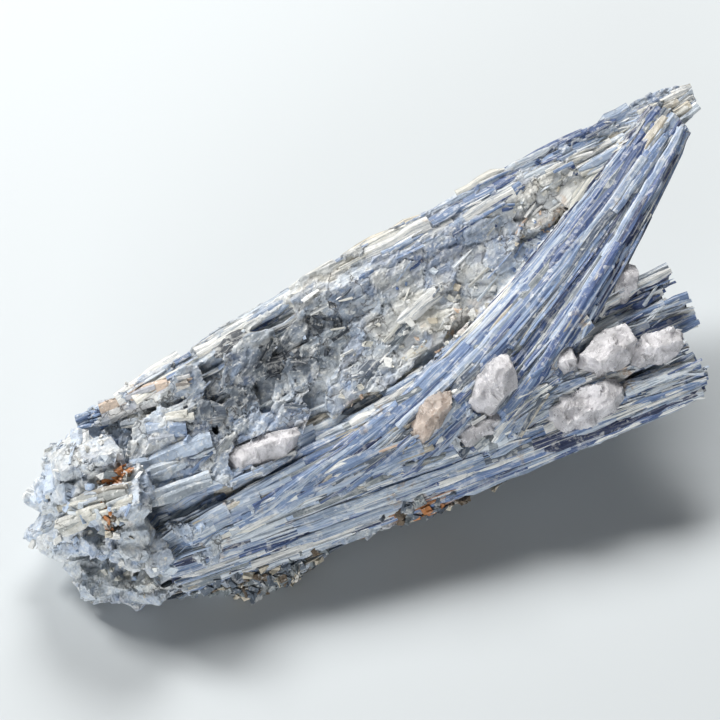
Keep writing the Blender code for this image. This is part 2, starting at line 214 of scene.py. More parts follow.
def ramp(tree, value, low, high, out_low=0.0, out_high=1.0):
    """Runs smoothly from out_low to out_high as the value goes from low to high."""
    mapped = add_node(tree, "ShaderNodeMapRange", {0: value, 1: low, 2: high, 3: out_low, 4: out_high},
                      interpolation_type="SMOOTHSTEP")
    return mapped.outputs[0]


def blend(tree, share, first, second, mode="MIX"):
    mix = add_node(tree, "ShaderNodeMix", data_type="RGBA", blend_type=mode)
    connect(tree, mix, {0: share, 6: first, 7: second})
    return mix.outputs[2]


def new_material(name):
    """An empty material, its nodes, and its Principled shader."""
    made = bpy.data.materials.new(name)
    made.use_nodes = True
    return made, made.node_tree, made.node_tree.nodes["Principled BSDF"]


def pattern(tree, vector, scale, detail=3.0, roughness=0.55):
    made = add_node(tree, "ShaderNodeTexNoise", {"Vector": vector, "Scale": scale, "Detail": detail,
                                                 "Roughness": roughness})
    return made.outputs["Fac"]


def crystal_values(tree, vector, scale):
    """One value, 0 to 1, for each small crystal in the surface."""
    cells = add_node(tree, "ShaderNodeTexVoronoi", {"Vector": vector, "Scale": scale}).outputs["Color"]
    return add_node(tree, "ShaderNodeSeparateColor", {0: cells}).outputs["Red"]


def bumps(tree, height, strength, depth):
    """The facing of a surface that is bumped by that height, depth metres deep."""
    given = {"Height": height, "Strength": strength, "Distance": depth}
    return add_node(tree, "ShaderNodeBump", given).outputs[0]


def cracks(tree, place, cell, width):
    """1 in hairline cracks between uneven cells, and 0 elsewhere."""
    wander = add_node(tree, "ShaderNodeTexNoise", {"Vector": place, "Scale": 2.5 / cell, "Detail": 4.0})
    bent = add_node(tree, "ShaderNodeVectorMath", {0: wander.outputs["Color"], "Scale": cell * 0.9},
                    operation="SCALE")
    moved = add_node(tree, "ShaderNodeVectorMath", {0: place, 1: bent.outputs[0]})
    edge = add_node(tree, "ShaderNodeTexVoronoi", {"Vector": moved.outputs[0], "Scale": 1 / cell},
                    feature="DISTANCE_TO_EDGE").outputs["Distance"]
    here = ramp(tree, pattern(tree, place, 0.5 / cell, 2.0), 0.47, 0.50)
    return times(tree, ramp(tree, edge, width, 0.0), here)


GRIME = (0.45, 0.47, 0.50, 1)
MURK = (0.48, 0.50, 0.53, 1)
CRACK_DARK = (*[part * 0.3 for part in UMBER], 1)


def broken_surface(name, grain_stretch):
    """Broken crystal: the tone stored on the mesh, sugary grains, painted glints, streaks along X, hairline
    cracks.
    """
    made, tree, shader = new_material(name)
    place = add_node(tree, "ShaderNodeTexCoord").outputs["Object"]
    stretched = add_node(tree, "ShaderNodeMapping", {"Vector": place, "Scale": grain_stretch}).outputs[0]
    tone = add_node(tree, "ShaderNodeAttribute", attribute_name="tone").outputs["Color"]
    streak = pattern(tree, stretched, 1.0, 5.0, 0.7)
    mottle = pattern(tree, place, 420.0, 4.0, 0.65)
    grain = crystal_values(tree, place, 2400.0)
    dark = blend(tree, ramp(tree, streak, 0.34, 0.48, 0.26, 0.0), tone, GRIME, "MULTIPLY")
    murky = blend(tree, ramp(tree, mottle, 0.36, 0.46, 0.28, 0.0), dark, MURK, "MULTIPLY")
    light = blend(tree, ramp(tree, mottle, 0.54, 0.66, 0.0, 0.55), murky, (*PEARL, 1))
    sugary = blend(tree, ramp(tree, grain, 0.0, 0.35, 0.34, 0.0), light, GRIME, "MULTIPLY")
    # Painted glints: white specks on a few grains along the paler streaks, in place of sparkle off the
    # grains.
    glint_share = times(tree, ramp(tree, grain, 0.86, 0.96, 0.0, 0.6), ramp(tree, streak, 0.46, 0.56))
    painted_glint = blend(tree, glint_share, sugary, (*PEARL, 1))
    crack = cracks(tree, place, 0.0085, 0.02)
    cracked = blend(tree, times(tree, crack, 0.6), painted_glint, CRACK_DARK)
    height = maths(tree, "ADD", maths(tree, "ADD", streak, mottle), times(tree, grain, 0.35))
    sunk = maths(tree, "SUBTRACT", height, crack)
    connect(tree, shader, {"Base Color": cracked, "Roughness": ramp(tree, grain, 0.2, 0.9, 0.75, 0.42),
                           "Normal": bumps(tree, sunk, 0.65, 0.0006)})
    return made


FACET_SEED = 31.7
FACET_SLOPE = 1.6


def facets(place, size, offset):
    """A surface broken into uneven flat facets: the height there, the gap to the next facet, its middle."""
    spot = Vector([at / part for at, part in zip(place, size)]) + offset
    reach, middles = noise.voronoi(spot)
    turn = noise.cell_vector(middles[0] * FACET_SEED) - Vector((0.5, 0.5, 0.5))
    middle = Vector([at * part for at, part in zip(middles[0] - offset, size)])
    return turn.z + (spot - middles[0]).dot(turn) * FACET_SLOPE, reach[1] - reach[0], middle


def broken(place, offset):
    """How far the broken surface stands out there, in millimetres, how close a crease is, and its grains."""
    root = min(max((ROOT_EDGE_X - place.x) / ROOT_FADE, 0.0), 1.0)
    block = max(root, min(max((LONG_GRAIN_Y - place.y) / LONG_FADE, 0.0), 1.0))
    bent = place + noise.noise_vector(place * 0.25) * 1.4 + noise.noise_vector(place) * 0.3
    long_step, _, long_middle = facets(bent, LONG_FACETS, offset)
    wide, wide_gap, wide_middle = facets(bent, WIDE_FACETS, offset)
    mid, gap, mid_middle = facets(bent, MID_FACETS, offset)
    fine, _, fine_middle = facets(bent, FINE_FACETS, offset)
    groove = noise.fractal(Vector((place.x * 0.12, place.y * 0.8, place.z * 0.8)) + offset, 0.9, 2.0, 3)
    crease = max(1 - wide_gap / CREASE_GAP, 0.0)
    grained = 0.6 * long_step + 0.3 * groove + 0.12 * fine
    blocky = (0.38 + 0.87 * root) * wide + (0.18 + 0.2 * root) * mid + 0.1 * fine - 0.5 * crease
    edge = max(1 - gap / EDGE_GAP, 0.0)
    grains = (wide_middle if block > 0.5 else long_middle, mid_middle, fine_middle)
    return grained + (blocky - grained) * block, edge, grains


def mean_tone(growth):
    whole = sum(growth.values())
    return [sum(colour[part] * weight for colour, weight in growth.items()) / whole for part in range(3)]


def grain_tone(middle):
    """The colour of the grain with that middle, drawn towards the mean of what grows round it."""
    key = tuple(round(part * 20) for part in middle)
    if key not in grain_tones:
        rng = random.Random(key[0] * 7919 + key[1] * 104729 + key[2] * 1299709)
        mean, own = mean_tone(MASS_GROWTH), crystal_tone(middle, MASS_GROWTH, rng)
        for zone in reversed(ZONES.values()):
            share = zone_share(middle, zone)
            mean = [part + share * (there - part) for part, there in zip(mean, mean_tone(zone[3]))]
        grain_tones[key] = [0.3 * a + 0.7 * b for a, b in zip(mean, own)] + [1.0]
    return grain_tones[key]


def parted(piece, name, wanted):
    """Moves the faces whose middles are wanted, in millimetres, to a new piece."""
    twin = new_piece(name, piece.data.copy())
    for part, kept in ((piece, False), (twin, True)):
        shape = bmesh.new()
        shape.from_mesh(part.data)
        gone = [face for face in shape.faces if wanted(face.calc_center_median() / MM) != kept]
        bmesh.ops.delete(shape, geom=gone, context="FACES")
        shape.to_mesh(part.data)
        shape.free()
    return twin


MASS_GROWTH = {SLATE: 0.6, MID_BLUE: 4, MICA: 0.8, PALE_BLUE: 4, ICE: 4, DEEP_BLUE: 1.2, CREAM: 1.5}
# The facets' sizes along X, Y and Z, and where the blocky root end and the long grain of the back begin
LONG_FACETS = (13, 2.4, 2.4)
WIDE_FACETS = (8.5, 6.0, 6.0)
MID_FACETS = (3.4, 2.3, 2.3)
FINE_FACETS = (1.5, 1.0, 1.0)
CREASE_GAP = 0.08
EDGE_GAP = 0.15
ROOT_EDGE_X = -44
ROOT_FADE = 8
LONG_GRAIN_Y = 18
LONG_FADE = 3
FACET_OFFSET = Vector((3.1, 7.7, 1.3))
SKIN_SINK = 0.15
FRONT_Z = 30
NOISE_SEED = 19
grain_tones = {}

noise.seed_set(NOISE_SEED)
skin = fine_copy("kyanite_blades", "kyanite_mass", SKIN_GRID)
solid_tree = BVHTree.FromPolygons([vert.co / MM for vert in skin.data.vertices],
                                  [face.vertices for face in skin.data.polygons])
mass_faces = [(face.center / MM, face.normal.copy(), face.area) for face in skin.data.polygons]
skin_tones = []
for vert, facing in [(vert, vert.normal.copy()) for vert in skin.data.vertices]:
    rise, edge, grains = broken(vert.co / MM, FACET_OFFSET)
    vert.co += facing * MM * (rise - SKIN_SINK)
    wide, mid, fine = [grain_tone(middle) for middle in grains]
    own = [0.42 * a + 0.36 * b + 0.22 * c for a, b, c in zip(wide, mid, fine)]
    skin_tones.append([part + 0.35 * edge * (white - part) for part, white in zip(own, (*PEARL, 1))])
attribute(skin.data, "tone", "FLOAT_COLOR", skin_tones)
settled(skin)
set_finish(skin, broken_surface("broken_kyanite", grain_stretch=(110, 900, 900)))
mass_front = parted(skin, "kyanite_mass_front", lambda at: at.x < ROOT_EDGE_X or at.z > FRONT_Z)
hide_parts("kyanite_blades")
for piece in (skin, mass_front):
    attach(piece, "root")

# ---- The horn sheaf ----
# Long flat kyanite blades that grew side by side and sweep up together to the horn. Each is a path on the
# curved sheet of the sheaf, laid on the mass and thickened to a flat six-sided bar with a bluer middle.
HORN_SHEAF = (
    [(-63, 3.5, 15.5), (-9, -5, 27.5), (71.5, 15.5, 48)],
    [(3, -20, 21.5), (33, -11.5, 34), (74, 8, 45.2)],
)
SHEAF_GROWTH = {PALE_BLUE: 5.5, ICE: 1.5, MID_BLUE: 6, DEEP_BLUE: 5, PEARL: 0.8, SLATE: 3.5, INDIGO: 2,
                SAND: 1, MICA: 2}
PROBE_REACH = 6
STAND_OFF = 2.6
DRIFT = 0.03
JOINT_LENGTH = 4.5
TIP_KINDS = (0.15, 0.5, 0.85, 1.0)
BUTT_KINDS = (0.3, 0.8, 1.0)


def curve_point(ends, share):
    """The point at that share of the curve that starts at root, passes bend half way, and ends at tip."""
    root, bend, tip = ends
    pull = 2 * bend - (root + tip) / 2
    rest = 1 - share
    return root * rest * rest + pull * 2 * rest * share + tip * share * share


def sheet_frame(sheet, across, share):
    """The point there on a sheet of blades, the way that the blades run, and the way that it faces."""
    first, last = [[Vector(point) for point in curve] for curve in sheet]
    ends = [a.lerp(b, across) for a, b in zip(first, last)]
    here = curve_point(ends, share)
    along = (curve_point(ends, share + 0.01) - curve_point(ends, share - 0.01)).normalized()
    over = curve_point(last, share) - curve_point(first, share)
    return here, along, over.cross(along).normalized()


def rise_of_solid(here, out):
    """How far the mass stands above that point of a sheet, along out, or None beside the mass."""
    hit = solid_tree.ray_cast(here + out * PROBE_REACH, -out, 2 * PROBE_REACH)
    return PROBE_REACH - hit[3] if hit[0] is not None else None


def held(points):
    """Whether none of those points of a blade stands far off the mass."""
    for point in points:
        near, facing, _, gap = solid_tree.find_nearest(point)
        if gap > STAND_OFF and (point - near).dot(facing) > 0:
            return False
    return True


def sheet_paths(sheet, count, widths, lengths, lifts, growth, rng, drift=DRIFT, roll=0.35, edge=0.0):
    """Blades scattered on a sheet: each its points, their half widths and facings, a tone and a seed.

    Widths and lengths are a least, a greatest and a usual one, and lifts are a least and a greatest.
    """
    paths = []
    for _ in range(count):
        across = rng.uniform(-edge, 1 + edge)
        middle = rng.uniform(0.0, 1.0)
        here, _, _ = sheet_frame(sheet, across, middle)
        whole = sum((sheet_frame(sheet, across, s)[0] - sheet_frame(sheet, across, s + 0.25)[0]).length
                    for s in (0.0, 0.25, 0.5, 0.75))
        length = min(rng.triangular(*lengths), whole)
        start = max(middle - length / whole / 2, 0.0)
        stop = min(start + length / whole, 1.0 + rng.uniform(-0.01, 0.01))
        turn = rng.uniform(-drift, drift)
        joints = max(2, round(length / JOINT_LENGTH) + 1)
        shares = [start + (stop - start) * j / joints for j in range(joints + 1)]
        frames = [sheet_frame(sheet, across + turn * (j / joints - 0.5), s) for j, s in enumerate(shares)]
        heights = [rise_of_solid(at, out) for at, _, out in frames]
        rises = [height for height in heights if height is not None]
        if not rises:
            continue
        level = sum(rises) / len(rises)
        lift = rng.uniform(*lifts)
        half = rng.triangular(*widths) / 2
        tip_kind = rng.choice(TIP_KINDS)
        butt_kind = rng.choice(BUTT_KINDS)
        lean = rng.uniform(-roll, roll)
        points, halves, facings = [], [], []
        for j, (at, along, out) in enumerate(frames):
            follow = level if heights[j] is None else level * 0.65 + heights[j] * 0.35
            shift = out.cross(along) * half * rng.uniform(-0.15, 0.15)
            points.append(at + shift + out * (follow + lift))
            taper = tip_kind if j == joints else butt_kind if j == 0 else rng.uniform(0.75, 1.1)
            halves.append(half * taper)
            facings.append(Matrix.Rotation(lean, 3, along) @ out)
        blade = (points, halves, facings, crystal_tone(here, growth, rng), rng.random())
        if held(points):
            paths.append(blade)
    return paths


def layered(sheet, broad, fine, growth, rng, broad_drift=DRIFT, **spread):
    """Broad blades on a sheet, and fine splinters over them: each a count, widths, lengths and lifts."""
    under = sheet_paths(sheet, *broad, growth, rng, drift=broad_drift)
    return under + sheet_paths(sheet, *fine, growth, rng, **spread)


def paths_mesh(name, paths):
    """Open chains of edges, one a blade, that carry each point's half width, facing, tone and seed."""
    points, edges, halves, facings, tones, seeds = [], [], [], [], [], []
    for path_points, path_halves, path_facings, tone, seed in paths:
        edges += [(len(points) + j, len(points) + j + 1) for j in range(len(path_points) - 1)]
        points += [point * MM for point in path_points]
        halves += [half * MM for half in path_halves]
        facings += path_facings
        tones += [tone] * len(path_points)
        seeds += [seed] * len(path_points)
    mesh = bpy.data.meshes.new(name)
    mesh.from_pydata(points, edges, [])
    attribute(mesh, "half_width", "FLOAT", halves)
    attribute(mesh, "facing", "FLOAT_VECTOR", facings)
    attribute(mesh, "tone", "FLOAT_COLOR", tones)
    attribute(mesh, "seed", "FLOAT", seeds)
    return mesh


def named(tree, name, kind="FLOAT"):
    read = add_node(tree, "GeometryNodeInputNamedAttribute", {"Name": name}, data_type=kind)
    return read.outputs["Attribute"]


def new_tree(name, sockets):
    """A Geometry Nodes tree with a geometry in and out, a finish, and the further inputs given."""
    tree = bpy.data.node_groups.new(name, "GeometryNodeTree")
    tree.interface.new_socket("Geometry", in_out="INPUT", socket_type="NodeSocketGeometry")
    for socket, kind in {**sockets, "Finish": "NodeSocketMaterial"}.items():
        tree.interface.new_socket(socket, in_out="INPUT", socket_type=kind)
    tree.interface.new_socket("Geometry", in_out="OUTPUT", socket_type="NodeSocketGeometry")
    return tree, tree.nodes.new("NodeGroupInput").outputs


def end_tree(tree, shape, finish):
    """Gives the shape flat faces, real geometry and its finish, and ends the tree with it."""
    crisp = add_node(tree, "GeometryNodeSetShadeSmooth", {"Geometry": shape, "Shade Smooth": False})
    real = add_node(tree, "GeometryNodeRealizeInstances", {"Geometry": crisp.outputs[0]})
    done = add_node(tree, "GeometryNodeSetMaterial", {"Geometry": real.outputs[0], "Material": finish})
    add_node(tree, "NodeGroupOutput", {"Geometry": done.outputs[0]})


def marked(tree, shape, name, value):
    """The shape with that value stored at each of its points."""
    given = {"Geometry": shape, "Name": name, "Value": value}
    made = add_node(tree, "GeometryNodeStoreNamedAttribute", given, data_type="FLOAT", domain="POINT")
    return made.outputs[0]


def blade_tree():
    """Thickens each chain to a flat six-sided bar, and stores where each point is along and across it."""
    tree, given = new_tree("blades_along_paths", {"Flatness": "NodeSocketFloat"})
    chains = add_node(tree, "GeometryNodeMeshToCurve", {"Mesh": given["Geometry"]})
    facing = named(tree, "facing", "FLOAT_VECTOR")
    faced = add_node(tree, "GeometryNodeSetCurveNormal", {"Curve": chains.outputs[0], "Normal": facing},
                     mode="FREE")
    length = add_node(tree, "GeometryNodeSplineParameter").outputs["Length"]
    outline = add_node(tree, "GeometryNodeCurvePrimitiveCircle", {"Resolution": 6, "Radius": 1.0})
    flat = add_node(tree, "ShaderNodeCombineXYZ", {"X": given["Flatness"], "Y": 1.0, "Z": 1.0})
    turned = add_node(tree, "GeometryNodeTransform",
                      {"Geometry": outline.outputs[0], "Rotation": (0, 0, math.pi / 2)})
    pressed = add_node(tree, "GeometryNodeTransform",
                       {"Geometry": turned.outputs[0], "Scale": flat.outputs[0]})
    place = add_node(tree, "GeometryNodeInputPosition").outputs[0]
    side = add_node(tree, "ShaderNodeSeparateXYZ", {0: place}).outputs["Y"]
    bars = add_node(tree, "GeometryNodeCurveToMesh",
                    {"Curve": marked(tree, faced.outputs[0], "along", length),
                     "Profile Curve": marked(tree, pressed.outputs[0], "across", side),
                     "Scale": named(tree, "half_width"), "Fill Caps": True})
    end_tree(tree, bars.outputs[0], given["Finish"])
    return tree


def grow(name, mesh, tree, inputs):
    """Runs a tree on that mesh and keeps the result as a plain piece."""
    piece = new_piece(name, mesh)
    modifier = piece.modifiers.new("growth", "NODES")
    modifier.node_group = tree
    for item in tree.interface.items_tree:
        if item.item_type == "SOCKET" and item.in_out == "INPUT" and item.name in inputs:
            modifier[item.identifier] = inputs[item.name]
    return settled(piece)


KYANITE_IOR = 1.6
SEED_SPREAD = 57.0
CORE_BLUE = (0.50, 0.60, 0.82, 1)
STREAK_DARK = (0.34, 0.39, 0.47, 1)
PIT_BLUE = (0.5, 0.54, 0.62, 1)
# Painted shade for the gaps where the blades meet.
EDGE_SHADE = (0.42, 0.45, 0.5, 1)


def blade_finish(name, core_share, roughness):
    """Vitreous kyanite: streaks along the blade, a bluer core, painted edge shade, and white and stained
    flecks.
    """
    made, tree, shader = new_material(name)

    def stored(key, output="Fac"):
        return add_node(tree, "ShaderNodeAttribute", attribute_name=key).outputs[output]

    across, along, half = stored("across"), stored("along"), stored("half_width")
    seed = times(tree, stored("seed"), SEED_SPREAD)
    side = times(tree, across, half)

    def blade_place(along_scale, side_scale):
        spot = {0: times(tree, along, along_scale), 1: times(tree, side, side_scale), 2: seed}
        return add_node(tree, "ShaderNodeCombineXYZ", spot).outputs[0]

    tone = stored("tone", "Color")
    place = add_node(tree, "ShaderNodeTexCoord").outputs["Object"]
    streak = pattern(tree, blade_place(80, 2000), 1.0, 5.0, 0.7)
    band = pattern(tree, blade_place(45, 600), 1.0, 3.0, 0.6)
    stain = pattern(tree, place, 110.0, 3.0, 0.6)
    mottle = pattern(tree, place, 520.0, 4.0, 0.7)
    grain = crystal_values(tree, blade_place(900, 1700), 1.0)
    from_middle = maths(tree, "ABSOLUTE", across)
    red = add_node(tree, "ShaderNodeSeparateColor", {0: tone}).outputs["Red"]
    deep = times(tree, ramp(tree, from_middle, 0.85, 0.2), ramp(tree, red, 0.45, 0.7, 1.0, 0.1))
    core = times(tree, deep, ramp(tree, band, 0.42, 0.6, 0.0, core_share))
    blue = blend(tree, core, tone, CORE_BLUE, "MULTIPLY")
    dark = blend(tree, ramp(tree, streak, 0.38, 0.48, 0.75, 0.0), blue, STREAK_DARK, "MULTIPLY")
    light = blend(tree, ramp(tree, streak, 0.52, 0.62, 0.0, 0.5), dark, (*PEARL, 1))
    speck = times(tree, ramp(tree, stain, 0.60, 0.68, 0.0, 0.7), ramp(tree, mottle, 0.48, 0.58))
    dusty = blend(tree, ramp(tree, mottle, 0.52, 0.70, 0.0, 0.5), light, (*PEARL, 1))
    rusty = blend(tree, speck, dusty, (*PINK_STAIN, 1), "MULTIPLY")
    flecked = blend(tree, ramp(tree, grain, 0.88, 0.97, 0.0, 0.4), rusty, (*PEARL, 1))
    pitted = blend(tree, ramp(tree, grain, 0.0, 0.25, 0.4, 0.0), flecked, PIT_BLUE, "MULTIPLY")
    # Painted shade: each blade darkens towards both of its edges, in place of the shade in the gaps between
    # blades.
    edge_shade_share = ramp(tree, from_middle, 0.86, 1.0, 0.0, 0.6)
    edge_shaded = blend(tree, edge_shade_share, pitted, EDGE_SHADE, "MULTIPLY")
    dull = ramp(tree, streak, 0.3, 0.7, roughness + 0.15, roughness - 0.1)
    height = maths(tree, "ADD", maths(tree, "ADD", streak, mottle), times(tree, grain, 0.4))
    connect(tree, shader, {"Base Color": edge_shaded, "Roughness": dull, "IOR": KYANITE_IOR,
                           "Normal": bumps(tree, height, 0.6, 0.0004)})
    return made


# How thick a blade is for its width
THICK = 0.32
SLIM = 0.26
SLIMMEST = 0.22
kyanite = blade_finish("kyanite_blade", core_share=0.75, roughness=0.42)
blades = blade_tree()


def dress(name, paths, flatness=THICK, finish=kyanite):
    """Makes blades on those paths, and fixes them to the mass."""
    piece = grow(name, paths_mesh(name, paths), blades, {"Flatness": flatness, "Finish": finish})
    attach(piece, "root")


SHEAF_BROAD = (380, (1.1, 4.2, 2.2), (14, 70, 34), (-0.7, 0.3))
SHEAF_FINE = (850, (0.3, 1.6, 0.6), (5, 36, 16), (-0.3, 0.4))
sheaf_rng = random.Random(31)
dress("horn_sheaf_blades", sheet_paths(HORN_SHEAF, *SHEAF_BROAD, SHEAF_GROWTH, sheaf_rng))
dress("horn_sheaf_splinters",
      sheet_paths(HORN_SHEAF, *SHEAF_FINE, SHEAF_GROWTH, sheaf_rng, drift=0.05, roll=0.6, edge=0.12))

# ---- The root sweep ----
# Pale, stained blades that run from the crumbled root end to the foot of the sheaf. They are broad and
# flat, and lie over each other like shingles.
ROOT_SWEEP = (
    [(-64, 5.5, 19), (-36, 0.5, 26), (-2, -2, 31.5)],
    [(-66, 0, 9), (-34, -9, 17.5), (6, -20.5, 21.5)],
)
SWEEP_GROWTH = {PALE_BLUE: 6, ICE: 4, MICA: 2, MID_BLUE: 3, SAND: 1.5, SLATE: 2, PEARL: 2, PINK_STAIN: 0.6}
SWEEP_BROAD = (190, (1.4, 5.0, 2.6), (8, 40, 20), (-0.7, 0.1))
SWEEP_FINE = (600, (0.3, 1.2, 0.5), (3, 16, 7), (-0.2, 0.35))
sweep_rng = random.Random(47)
dress("root_sweep_blades",
      layered(ROOT_SWEEP, SWEEP_BROAD, SWEEP_FINE, SWEEP_GROWTH, sweep_rng, drift=0.08, roll=0.6), SLIM)

# ---- The lower fan ----
# The slab under the fork: blue and white kyanite blades packed edge to edge, broken off in steps at the
# right. Its underside is greyer and rougher, of shorter blades with mica between them.
LOWER_FAN = (
    [(-66, 3, 12), (-11, -12.5, 17.5), (48, -29.5, 22)],
    [(-61, -4, 6), (-12, -16.5, 10.5), (45, -32.8, 19)],
)
FAN_UNDERSIDE = (
    [(-68, -1.5, 4.0), (-14, -17, 9.5), (44, -33, 18.5)],
    [(-60, 0, 0.8), (-8, -12, 3), (38, -20, 12)],
)
FAN_GROWTH = {DEEP_BLUE: 3, INDIGO: 1.6, MID_BLUE: 4, PALE_BLUE: 5, ICE: 5, PEARL: 4, SLATE: 1}
UNDERSIDE_GROWTH = {SLATE: 4, MICA: 4, PALE_BLUE: 3, ICE: 2, UMBER: 1, SAND: 1.5, INDIGO: 0.8}
FAN_BROAD = (190, (0.9, 3.0, 1.6), (12, 60, 28), (-0.5, 0.2))
FAN_FINE = (700, (0.25, 1.0, 0.45), (4, 22, 10), (-0.2, 0.4))
UNDERSIDE_BROAD = (150, (1.2, 3.8, 2.0), (5, 24, 11), (-0.7, 0.1))
UNDERSIDE_FINE = (380, (0.3, 1.3, 0.6), (2, 11, 5), (-0.2, 0.4))
fan_rng = random.Random(53)
dress("lower_fan_blades", layered(LOWER_FAN, FAN_BROAD, FAN_FINE, FAN_GROWTH, fan_rng, roll=0.6))
dress("lower_fan_underside",
      layered(FAN_UNDERSIDE, UNDERSIDE_BROAD, UNDERSIDE_FINE, UNDERSIDE_GROWTH, fan_rng, drift=0.1, roll=0.8))

# ---- The main face ----
# The broken slope between the ridge and the sheaf: flat cleavage flakes laid along the ridge, dark and
# micaceous at the left, cream with quartz in the middle, and blue towards the horn.
MAIN_FACE = (
    [(-54, 20, 35.5), (5, 16.5, 40), (54, 14.5, 44.5)],
    [(-60, 5, 22), (-9, -1, 29.5), (54, 11, 42)],
)
FACE_GROWTH = {PALE_BLUE: 5, MID_BLUE: 5, ICE: 3, SLATE: 3, CREAM: 2, PEARL: 1, MICA: 2}
FACE_FLAKES = (14, (2.0, 6.0, 3.4), (4, 14, 7), (-0.7, -0.2))
FACE_SPLINTERS = (60, (0.3, 1.2, 0.6), (1.2, 8, 3), (-0.2, 0.2))
face_rng = random.Random(61)
dress("main_face_flakes",
      sheet_paths(MAIN_FACE, *FACE_FLAKES, FACE_GROWTH, face_rng, drift=0.08, roll=0.25), SLIMMEST)
dress("main_face_splinters",
      sheet_paths(MAIN_FACE, *FACE_SPLINTERS, FACE_GROWTH, face_rng, drift=0.12, roll=0.5))

# ---- The ridge and the horn ----
# The straight upper edge, with pale blades at its left and saturated blue ones at its right, and the
# blunt grey-white horn where they all meet.
RIDGE = (
    [(-57, 25, 34.5), (5, 22.5, 42.5), (70, 18.5, 48.6)],
    [(-52, 19, 34.5), (5, 15.5, 40), (58, 14, 45)],
)
HORN = (
    [(48, 19.5, 46), (66, 17.8, 47.6), (81, 15.5, 49.5)],
    [(50, 10, 42.5), (66, 9, 43.8), (80, 11, 46)],
)
RIDGE_GROWTH = {MID_BLUE: 4, PALE_BLUE: 5, ICE: 5, PEARL: 4, CREAM: 1, DEEP_BLUE: 0.5}
HORN_GROWTH = {ICE: 4, PEARL: 5, MICA: 1, PALE_BLUE: 2, CREAM: 4, SAND: 1}
RIDGE_BROAD = (30, (1.6, 5.0, 2.8), (6, 26, 12), (-0.8, -0.2))
RIDGE_FINE = (60, (0.3, 1.4, 0.6), (2, 14, 6), (-0.3, 0.2))
HORN_BROAD = (50, (1.0, 3.0, 1.8), (4, 14, 8), (-0.7, 0.0))
HORN_FINE = (160, (0.3, 1.0, 0.5), (1.5, 8, 4), (-0.3, 0.3))
ridge_rng = random.Random(71)
dress("ridge_blades",
      layered(RIDGE, RIDGE_BROAD, RIDGE_FINE, RIDGE_GROWTH, ridge_rng, drift=0.08, roll=0.6), SLIM)
dress("horn_blades", layered(HORN, HORN_BROAD, HORN_FINE, HORN_GROWTH, ridge_rng, drift=0.1, roll=0.6))

# ---- The back and the undersides ----
# The sides turned away from the fork: long blades from the root end to the horn, greyer than the front,
# and the underside of the horn and the fork, where the blades hang free of the floor.
BACK_HIGH = (
    [(-64, 31, 9), (0, 33, 14), (36, 28.5, 26)],
    [(-54, 28.5, 30), (8, 27.5, 36.5), (70, 19.5, 45)],
)
BACK_LOW = (
    [(-66, 29, 1.0), (-6, 33, 1.2), (24, 27.5, 4.5)],
    [(-64, 31, 9), (0, 33, 14), (36, 28.5, 26)],
)
HORN_KEEL = (
    [(14, 3, 6), (38, 10, 25), (72, 12.5, 42)],
    [(16, 29, 7), (38, 26, 27), (68, 17.5, 42.5)],
)
SHEAF_UNDERSIDE = (
    [(8, -17, 16), (36, -8, 30), (72, 8, 43)],
    [(14, 3, 6), (38, 10, 25), (72, 12.5, 42)],
)
FORK_UNDERSIDE = (
    [(6, -22, 9), (30, -27, 13), (44, -31, 17)],
    [(8, -7, 4), (30, -9, 14), (43, -12, 20)],
)
BACK_GROWTH = {PALE_BLUE: 5, MID_BLUE: 4, SLATE: 3, MICA: 3, ICE: 3, SAND: 1.5, DEEP_BLUE: 1.5, CREAM: 1}
BACK_BROAD = ((1.2, 4.6, 2.4), (8, 40, 18), (-1.3, -0.4))
BACK_FINE = ((0.3, 1.3, 0.6), (4, 14, 7), (-0.5, 0.1))
back_rng = random.Random(83)
back_paths = []
for sheet, broad_count, fine_count in ((BACK_HIGH, 160, 333), (BACK_LOW, 100, 173), (HORN_KEEL, 73, 133),
                                       (SHEAF_UNDERSIDE, 73, 133), (FORK_UNDERSIDE, 73, 133)):
    back_paths += layered(sheet, (broad_count, *BACK_BROAD), (fine_count, *BACK_FINE), BACK_GROWTH, back_rng,
                          drift=0.08, roll=0.8)
dress("back_blades", back_paths)

# ---- The fork ----
# Free blades that stand out between the sheaf and the lower fan, each a bundle of blue and white kyanite
# splinters laid along a blade of the mass. More of them fill the bed of the fork round the quartz.
FORK_BED = (
    [(0, -14, 25), (24, -13, 28.5), (50, -13.5, 31)],
    [(2, -19.5, 18), (24, -24, 19.5), (47, -31.5, 22)],
)
FORK_BLADES = {
    "top": [(26, -8, 28.0), (53.5, -13, 32.7), 5.0, (-0.2, -0.7, 0.7)],
    "wide": [(22, -12, 24), (53.6, -19.4, 28.8), 7.5, (-0.2, -0.8, 0.6)],
    "pale": [(20, -17, 23), (46, -25.2, 27), 4.5, (-0.2, -0.6, 0.8)],
    "dark": [(14, -20, 19.5), (47, -31.2, 24.8), 5.0, (-0.1, -0.8, 0.6)],
    "long": [(8, -19.5, 17.5), (45, -33.2, 22.6), 4.6, (-0.1, -0.8, 0.6)],
    "root_block": [(8, -13.5, 21.5), (30, -21.5, 26), 6.5, (-0.2, -0.7, 0.7)],
    "inner": [(16, -10, 24), (33, -12, 31), 5.0, (-0.4, -0.7, 0.5)],
    "small": [(12, -14, 22), (24, -17, 28), 4.5, (-0.4, -0.7, 0.5)],
}
FORK_GROWTH = {DEEP_BLUE: 2.5, MID_BLUE: 5, INDIGO: 0.5, PALE_BLUE: 6, ICE: 7, SLATE: 0.5, PEARL: 6}


def bundle_sheet(root, tip, width, facing):
    """The sheet that one free blade's splinters lie on, as wide as the blade."""
    root, tip, facing = Vector(root), Vector(tip), Vector(facing)
    side = (tip - root).cross(facing).normalized() * width / 2
    return [[root + s, (root + tip) / 2 + s, tip + s] for s in (-side, side)]


